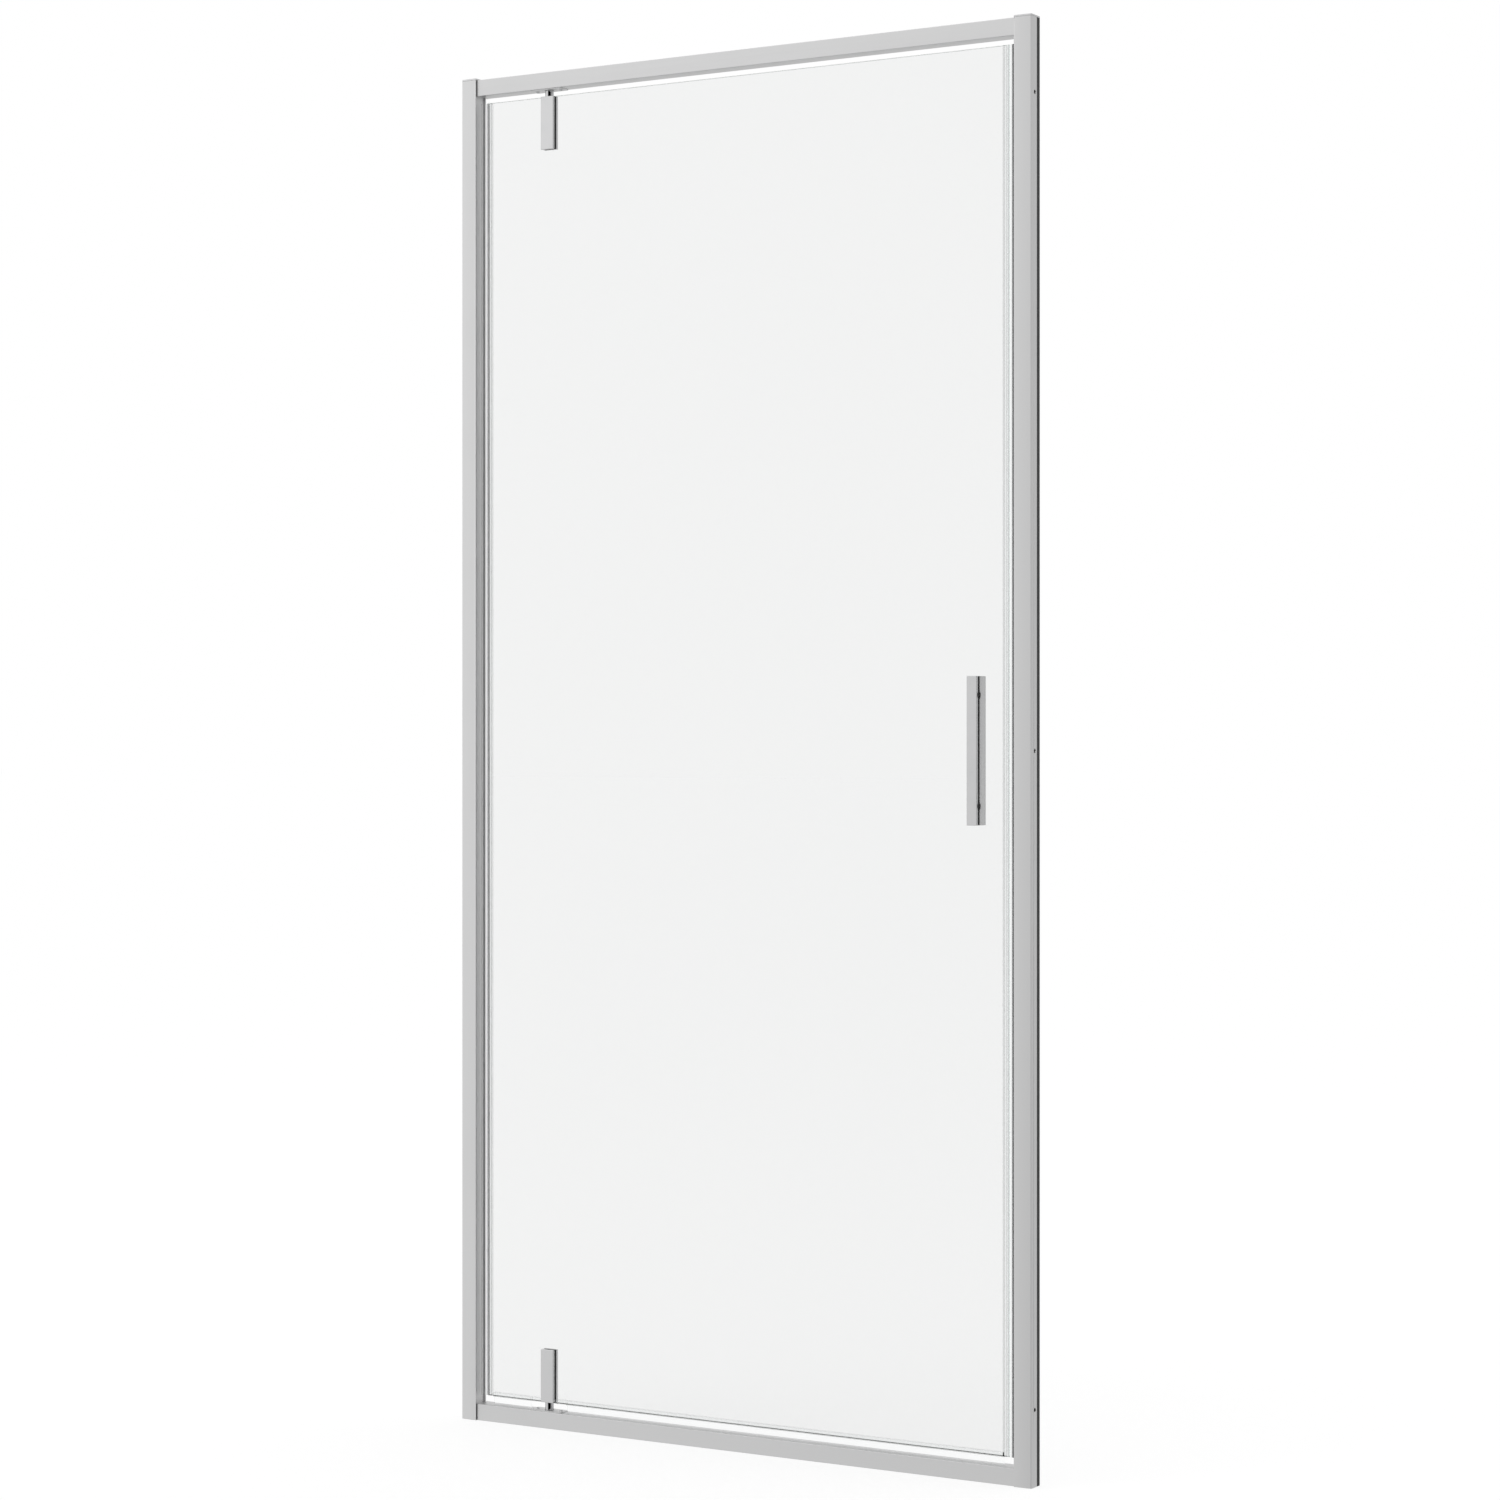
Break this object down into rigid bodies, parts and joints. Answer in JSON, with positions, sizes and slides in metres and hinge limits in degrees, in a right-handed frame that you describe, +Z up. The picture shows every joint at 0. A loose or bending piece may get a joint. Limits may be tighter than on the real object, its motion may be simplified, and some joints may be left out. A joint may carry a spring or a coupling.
{
  "type": "shower door",
  "caption": "Framed pivot shower door for a niche: clear glass leaf on inset pivot clamps, bright metal frame, bar handle and clear seals.",
  "frame": {"origin": "middle of the sill's underside, below the middle of the glass", "axes": "+Z up, +X along the door from the hinge side to the strike side, +Y to the rear, where the pull bar is"},
  "size_m": [0.9, 0.0359, 1.9],
  "materials": {
    "bright_profile": "bright anodised",
    "chrome": "polished",
    "steel": "satin",
    "black_rubber": "matt",
    "magnet": "matt",
    "clear_seal": "clear, gloss",
    "white_plastic": "natural",
    "cap_plastic": "metallised",
    "clear_glass": "clear, polished"
  },
  "bodies": {
    "frame": {"wall_channel_left": "bright_profile", "wall_channel_right": "bright_profile", "wall_gasket_left": "black_rubber", "wall_gasket_right": "black_rubber", "upright_left": "bright_profile", "upright_right": "bright_profile", "header_rail": "bright_profile", "sill_rail": "bright_profile", "top_cap_left": "cap_plastic", "top_cap_right": "cap_plastic", "corner_screws": "steel", "adjusting_screws": "steel", "bearing_plate_top": "steel", "bearing_plate_bottom": "steel", "bearing_screws": "steel", "pivot_bush_top": "white_plastic", "pivot_bush_bottom": "white_plastic", "strike_carrier": "clear_seal", "strike_magnet": "magnet"},
    "leaf": {"glass_panel": "clear_glass", "pivot_pin_top": "chrome", "pivot_pin_bottom": "chrome", "clamp_front_top": "chrome", "clamp_front_bottom": "chrome", "clamp_rear_top": "chrome", "clamp_rear_bottom": "chrome", "clamp_gaskets_top": "black_rubber", "clamp_gaskets_bottom": "black_rubber", "clamp_screws": "steel", "handle_front_plate": "chrome", "handle_pull_bar": "chrome", "handle_washers": "black_rubber", "handle_sleeves": "clear_seal", "handle_studs": "steel", "handle_set_screws": "steel", "hinge_seal": "clear_seal", "strike_seal": "clear_seal", "bottom_seal_short": "clear_seal", "bottom_seal_long": "clear_seal", "leaf_magnet": "magnet"}
  },
  "joints": [
    {"name": "leaf_swing", "type": "hinge", "parent": "frame", "child": "leaf", "pos_m": [-0.309, 0, 0.95], "axis": [0, 0, 1], "range_deg": [0, 95]}
  ]
}
